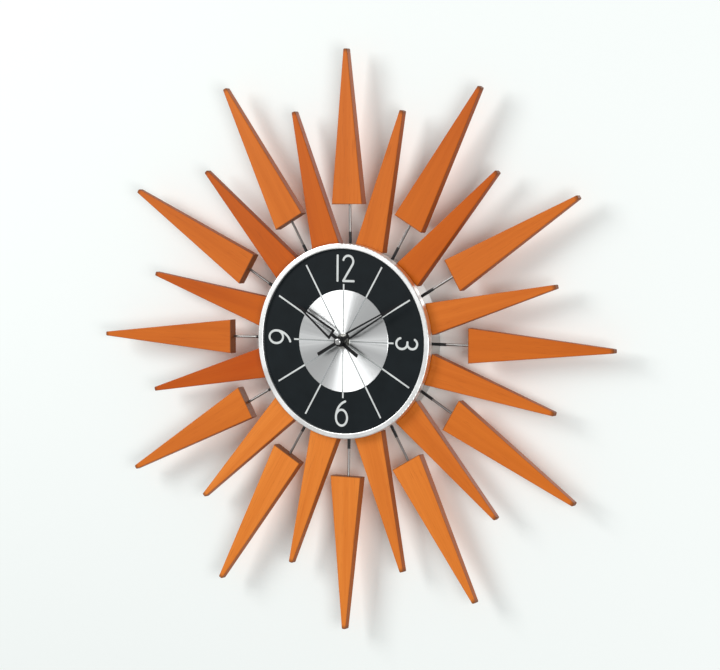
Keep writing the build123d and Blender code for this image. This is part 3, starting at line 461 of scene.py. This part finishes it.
def ribbon(path, width):
    """A stroke of even width along a path, with round ends."""
    path = [Vector(p) for p in path]
    count = len(path)
    left, right = [], []
    for i, point in enumerate(path):
        before = path[max(i - 1, 0)]
        after = path[min(i + 1, count - 1)]
        along = (after - before).normalized()
        side = Vector((-along.y, along.x)) * width / 2
        left.append(point + side)
        right.append(point - side)
    caps = []
    for centre, along in ((path[-1], path[-1] - path[-2]), (path[0], path[0] - path[1])):
        start = math.atan2(along.y, along.x) + math.pi / 2
        steps = [start - math.pi * k / CAP_STEPS for k in range(1, CAP_STEPS)]
        caps.append([centre + Vector((math.cos(t), math.sin(t))) * width / 2 for t in steps])
    outline = left + caps[0] + list(reversed(right)) + caps[1]
    last_right = count + CAP_STEPS - 1
    first_right = last_right + count - 1
    faces = [[i, i + 1, first_right - i - 1, first_right - i] for i in range(count - 1)]
    faces.append(list(range(count - 1, last_right + 1)))
    faces.append(list(range(first_right, len(outline))) + [0])
    return outline, faces


def arc(centre, radius_x, radius_z, start, end, steps=24):
    """Points on an ellipse; angles in degrees anticlockwise from the right."""
    angles = [math.radians(start + (end - start) * k / steps) for k in range(steps + 1)]
    return [(centre[0] + radius_x * math.cos(t), centre[1] + radius_z * math.sin(t)) for t in angles]


# Numerals as strokes centred on zero, in millimetres
STROKE = 2.2
HALF = 12.4                     # half the height of 1 and 2
ONE = [[(0, HALF), (0, -HALF)]]
TWO = [
    arc((0, HALF - 5.6), 5.6, 5.6, 165, -35) + [(-5.6, -HALF)],
    [(-5.6, -HALF), (6.2, -HALF)],
]
THREE = [
    arc((0.2, 6.1), 4.9, 5.4, 150, -85) + [(-1.4, 0.8)],
    [(-1.4, 0.8)] + arc((0, -5.4), 5.3, 6.1, 85, -165),
]
BOWL_Z = -4.6                   # centre of the bowl of the 6
BOWL_X_RADIUS = 6.3
BOWL_Z_RADIUS = 7.8
SIX = [
    arc((8.0, BOWL_Z), 14.3, 16.8, 106, 180) + arc((0, BOWL_Z), BOWL_X_RADIUS, BOWL_Z_RADIUS, 190, 360),
    arc((0, BOWL_Z), BOWL_X_RADIUS, BOWL_Z_RADIUS, 0, 150),
]
NINE = [[(-x, -z) for x, z in stroke] for stroke in SIX]
TWELVE_Z = 71.5                 # centres of the numerals
THREE_PLACE = (70.6, 0.2)
SIX_PLACE = (-1.4, -70.8)
NINE_PLACE = (-72.0, 1.5)


def place_numeral(strokes, centre_x, centre_z, turn=0.0):
    """A numeral's strokes in metres, turned clockwise about its own centre."""
    spin = math.radians(turn)
    shapes = []
    for stroke in strokes:
        moved = []
        for x, z in stroke:
            u = x * math.cos(spin) + z * math.sin(spin)
            v = -x * math.sin(spin) + z * math.cos(spin)
            moved.append(((centre_x + u) * MM, (centre_z + v) * MM))
        shapes.append(ribbon(moved, STROKE * MM))
    return shapes


numerals = {
    "numeral_12": place_numeral(ONE, -7, TWELVE_Z) + place_numeral(TWO, 5, TWELVE_Z),
    "numeral_3": place_numeral(THREE, *THREE_PLACE, 90),
    "numeral_6": place_numeral(SIX, *SIX_PLACE),
    "numeral_9": place_numeral(NINE, *NINE_PLACE, 270),
}
for name, shapes in numerals.items():
    print_object(name, shapes, DIAL_FACE_Y, print_silver)

hour_lines = []
disc_lines = []
for hour in range(12):
    angle = RAY_STEP * hour
    outer = NUMBERED_LINE_OUTER if hour % 3 == 0 else LINE_OUTER
    hour_lines.append(radial_line(angle, DISC_RADIUS + LINE_GAP, outer, LINE_WIDTH))
    disc_lines.append(
        radial_line(angle, DISC_LINE_INNER, DISC_RADIUS - DISC_LINE_GAP, LINE_WIDTH * DISC_LINE_SHARE)
    )
print_object("hour_lines", hour_lines, DIAL_FACE_Y, print_silver)
print_object("disc_lines", disc_lines, DISC_FACE_Y, print_grey)

# ---------------------------------------------------------------- wall, lights and camera

scene = bpy.context.scene
scene.view_settings.view_transform = "Standard"

# One face, seen from the front only, a little behind the wall plane
WALL_HALF = 3
WALL_Y = 0.6 * MM
corners = [(x * WALL_HALF, WALL_Y, z * WALL_HALF) for x, z in ((-1, -1), (1, -1), (1, 1), (-1, 1))]
wall_mesh = bpy.data.meshes.new("wall")
wall_mesh.from_pydata(corners, [], [(0, 1, 2, 3)])
wall = bpy.data.objects.new("wall", wall_mesh)
scene.collection.objects.link(wall)
wall_paint, tree, shader = new_material("wall_paint", Roughness=0.9, Specular_IOR_Level=0.1)
shader.inputs["Base Color"].default_value = (0.850, 0.890, 0.875, 1)
plaster = noise(tree, position(tree), 300, 3, 0.6)
tree.links.new(bump(tree, plaster, 0.02 * MM), shader.inputs["Normal"])
behind = add(tree, "ShaderNodeNewGeometry").outputs["Backfacing"]
clear = add(tree, "ShaderNodeBsdfTransparent").outputs[0]
output = tree.nodes["Material Output"]
see_through = add(tree, "ShaderNodeMixShader", {0: behind, 1: shader.outputs[0], 2: clear})
tree.links.new(see_through.outputs[0], output.inputs["Surface"])
wall_mesh.materials.append(wall_paint)
wall.visible_shadow = False

world = bpy.data.worlds.new("studio")
scene.world = world
world.use_nodes = True
background = world.node_tree.nodes["Background"]
background.inputs["Color"].default_value = (1.0, 1.0, 1.0, 1)
background.inputs["Strength"].default_value = 0.41


def softbox(name, place, size, power):
    """A square lamp that faces the middle of the wall."""
    data = bpy.data.lights.new(name, "AREA")
    data.shape = "SQUARE"
    data.size = size
    data.energy = power
    lamp = bpy.data.objects.new(name, data)
    lamp.location = place
    lamp.rotation_euler = (-Vector(place)).to_track_quat("-Z", "Y").to_euler()
    scene.collection.objects.link(lamp)


softbox("key_left", (-1.72, -1.88, 1.10), 1.4, 46)
softbox("key_right", (1.85, -2.05, -0.16), 1.1, 33)
softbox("back_fill", (0.8, 2.2, 1.0), 1.2, 18)

# The camera looks from the right of the clock and a little above it
AZIMUTH = math.radians(29.5)
ELEVATION = math.radians(3.75)
ROLL = math.radians(0.42)
DISTANCE = 2.63
back = Vector(
    (
        math.sin(AZIMUTH) * math.cos(ELEVATION),
        -math.cos(AZIMUTH) * math.cos(ELEVATION),
        math.sin(ELEVATION),
    )
)
level = Vector((math.cos(AZIMUTH), math.sin(AZIMUTH), 0))
upright = back.cross(level)
right = level * math.cos(ROLL) + upright * math.sin(ROLL)
up = back.cross(right)
target = Vector((0, RAY_FRONT_Y, 0))
camera_data = bpy.data.cameras.new("camera")
camera_data.sensor_width = 36
camera_data.lens = 133.85
camera_data.shift_x = 0.0190
camera_data.shift_y = 0.0081
camera = bpy.data.objects.new("camera", camera_data)
camera.matrix_world = Matrix(
    (
        (right.x, up.x, back.x, target.x + back.x * DISTANCE),
        (right.y, up.y, back.y, target.y + back.y * DISTANCE),
        (right.z, up.z, back.z, target.z + back.z * DISTANCE),
        (0, 0, 0, 1),
    )
)
scene.collection.objects.link(camera)
scene.camera = camera
